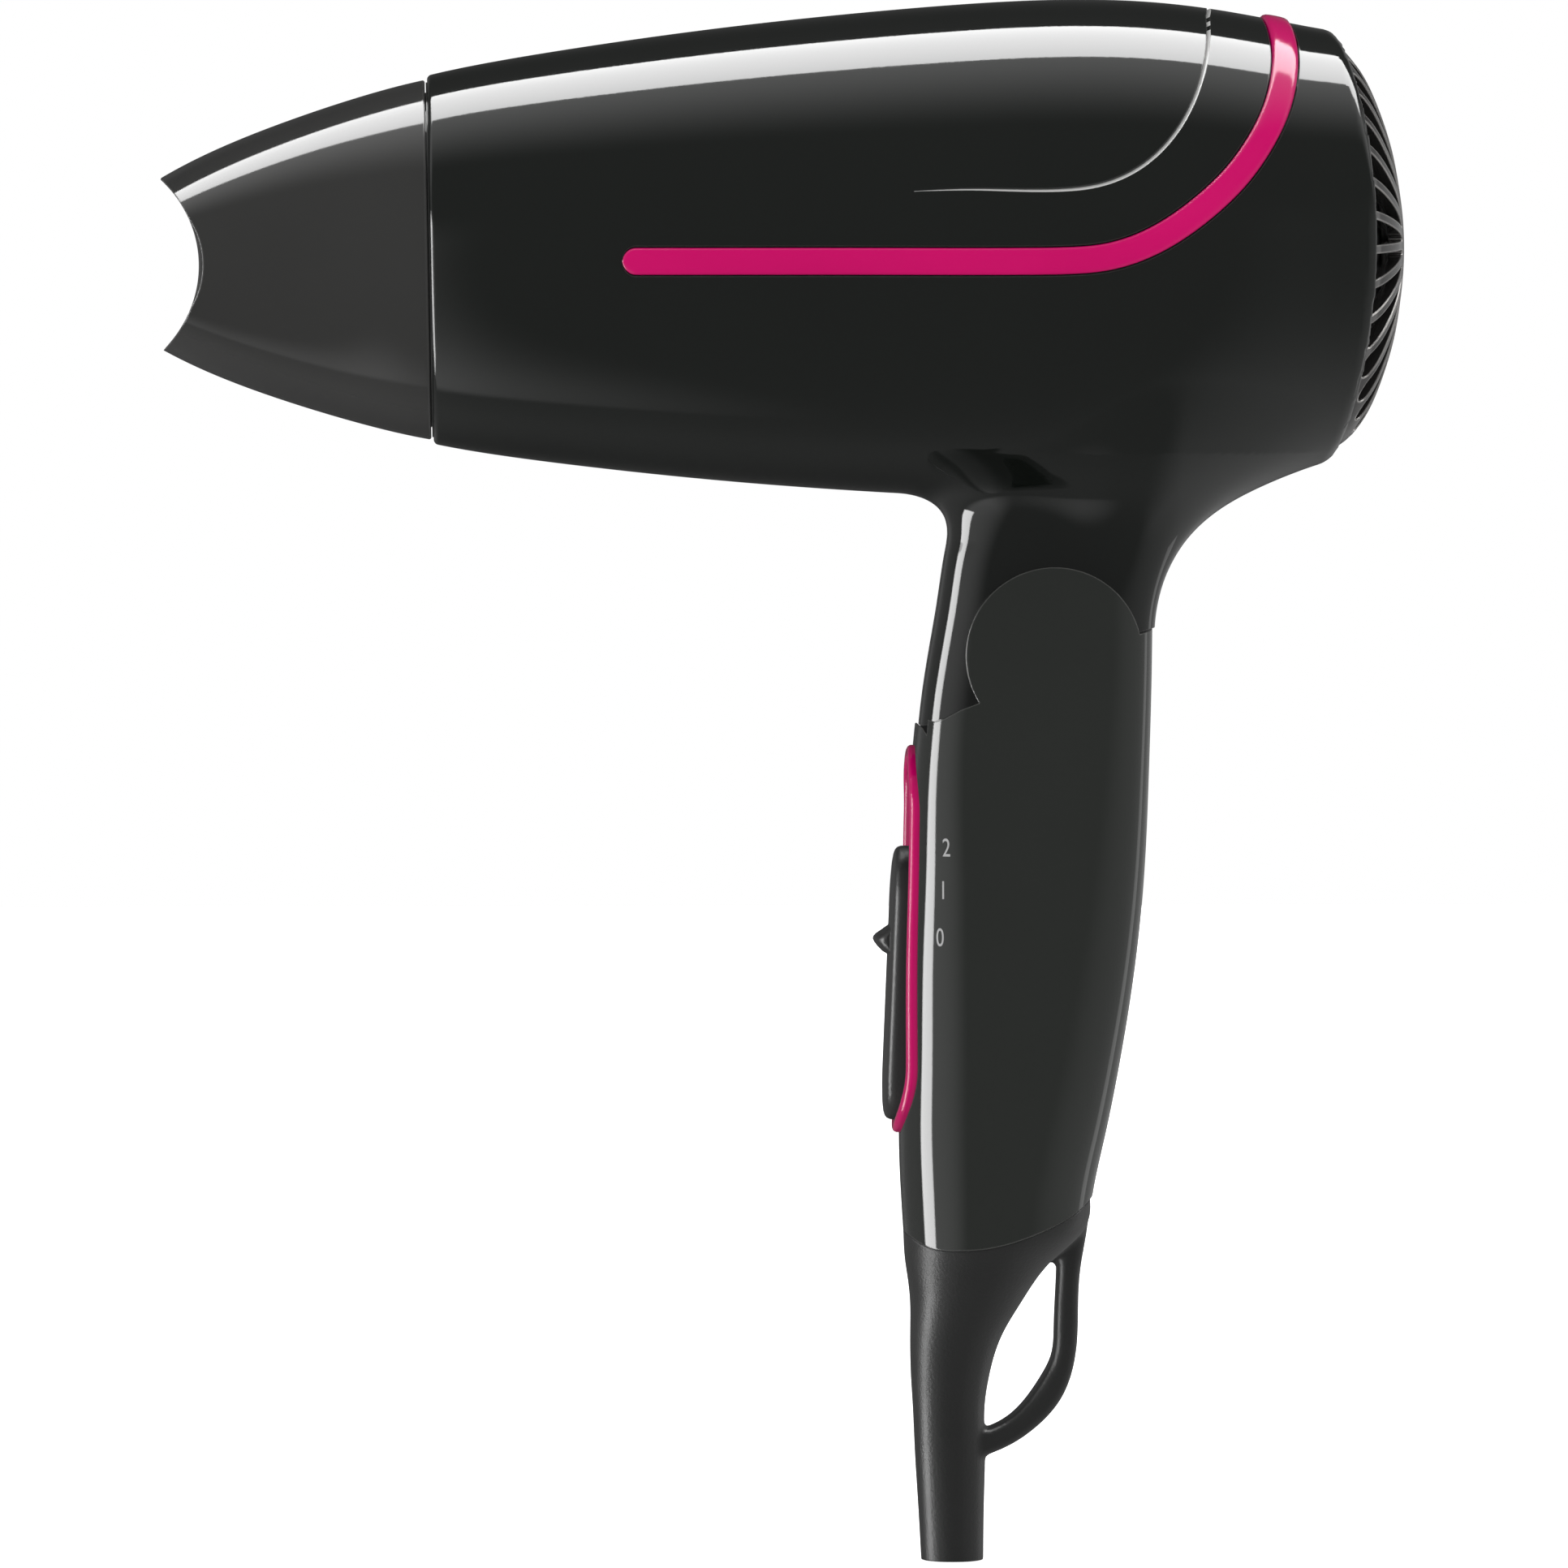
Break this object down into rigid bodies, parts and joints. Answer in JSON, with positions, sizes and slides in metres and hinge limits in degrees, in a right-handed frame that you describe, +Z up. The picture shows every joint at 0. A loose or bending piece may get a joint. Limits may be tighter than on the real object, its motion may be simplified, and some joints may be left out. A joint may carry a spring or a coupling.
{
  "type": "travel hair dryer",
  "caption": "Small folding hair dryer: tapered gloss barrel with a press-on concentrator nozzle, slotted rear grille, fold-down handle with slide switch and a rubber cord boot with hang loop.",
  "frame": {"origin": "centre of the overall bounding box, dryer upright with the handle down", "axes": "+X towards the rear air grille, -X is the way the air blows; +Z up from handle to barrel; +Y to the far side, Y = 0 is the mould split plane"},
  "size_m": [0.1648, 0.0672, 0.2077],
  "materials": {
    "gloss_black": "gloss",
    "gloss_pink": "gloss",
    "dark_chrome": "gloss",
    "matte_black": "matte",
    "soft_rubber": "matte",
    "steel": "satin",
    "nichrome": "satin",
    "mica": "satin",
    "white_nylon": "satin",
    "grey_plastic": "satin",
    "board_tan": "matte",
    "wire_white": "satin"
  },
  "bodies": {
    "housing": {"barrel_shell_left": "gloss_black", "barrel_shell_right": "gloss_black", "accent_band": "gloss_pink", "rear_grille": "dark_chrome", "lint_screen": "steel", "outlet_grille": "matte_black", "mica_liner": "mica", "mica_former": "mica", "heater_coil": "nichrome", "thermostat": "steel", "thermal_fuse": "white_nylon", "rectifier_board": "board_tan", "motor": "steel", "motor_mount_vanes": "matte_black", "neck_screw": "steel", "barrel_wires": "wire_white"},
    "rotor": {"motor_shaft": "steel", "fan_impeller": "grey_plastic"},
    "snap_ring": {"nozzle_snap_ring": "white_nylon"},
    "nozzle": {"concentrator_nozzle": "gloss_black"},
    "handle": {"handle_shell_left": "gloss_black", "handle_shell_right": "gloss_black", "switch_bezel": "gloss_pink", "switch_module": "grey_plastic", "fold_pivot_pin": "steel", "hinge_washer_left": "white_nylon", "hinge_washer_right": "white_nylon", "handle_screw_1": "steel", "handle_screw_2": "steel", "handle_screw_3": "steel", "handle_wires": "wire_white", "strain_relief_boot": "soft_rubber", "cord_clamp": "grey_plastic", "clamp_screw_1": "steel", "clamp_screw_2": "steel"},
    "slider": {"switch_slider": "matte_black"}
  },
  "joints": [
    {"name": "handle_fold", "type": "hinge", "parent": "housing", "child": "handle", "pos_m": [0.03526, 0, 0.01724], "axis": [0, 1, 0], "range_deg": [0, 82]},
    {"name": "fan_spin", "type": "hinge", "parent": "housing", "child": "rotor", "pos_m": [0.04296, 0, 0.07101], "axis": [0.9998, 0, 0.0175], "continuous": true},
    {"name": "nozzle_pull", "type": "slide", "parent": "housing", "child": "snap_ring", "axis": [-0.9998, 0, -0.0175], "range_m": [0, 0.012]},
    {"name": "nozzle_turn", "type": "hinge", "parent": "snap_ring", "child": "nozzle", "pos_m": [-0.04703, 0, 0.06944], "axis": [0.9998, 0, 0.0175], "continuous": true},
    {"name": "switch_slide", "type": "slide", "parent": "handle", "child": "slider", "axis": [0.0401, 0, 0.9992], "range_m": [0, 0.011]}
  ]
}
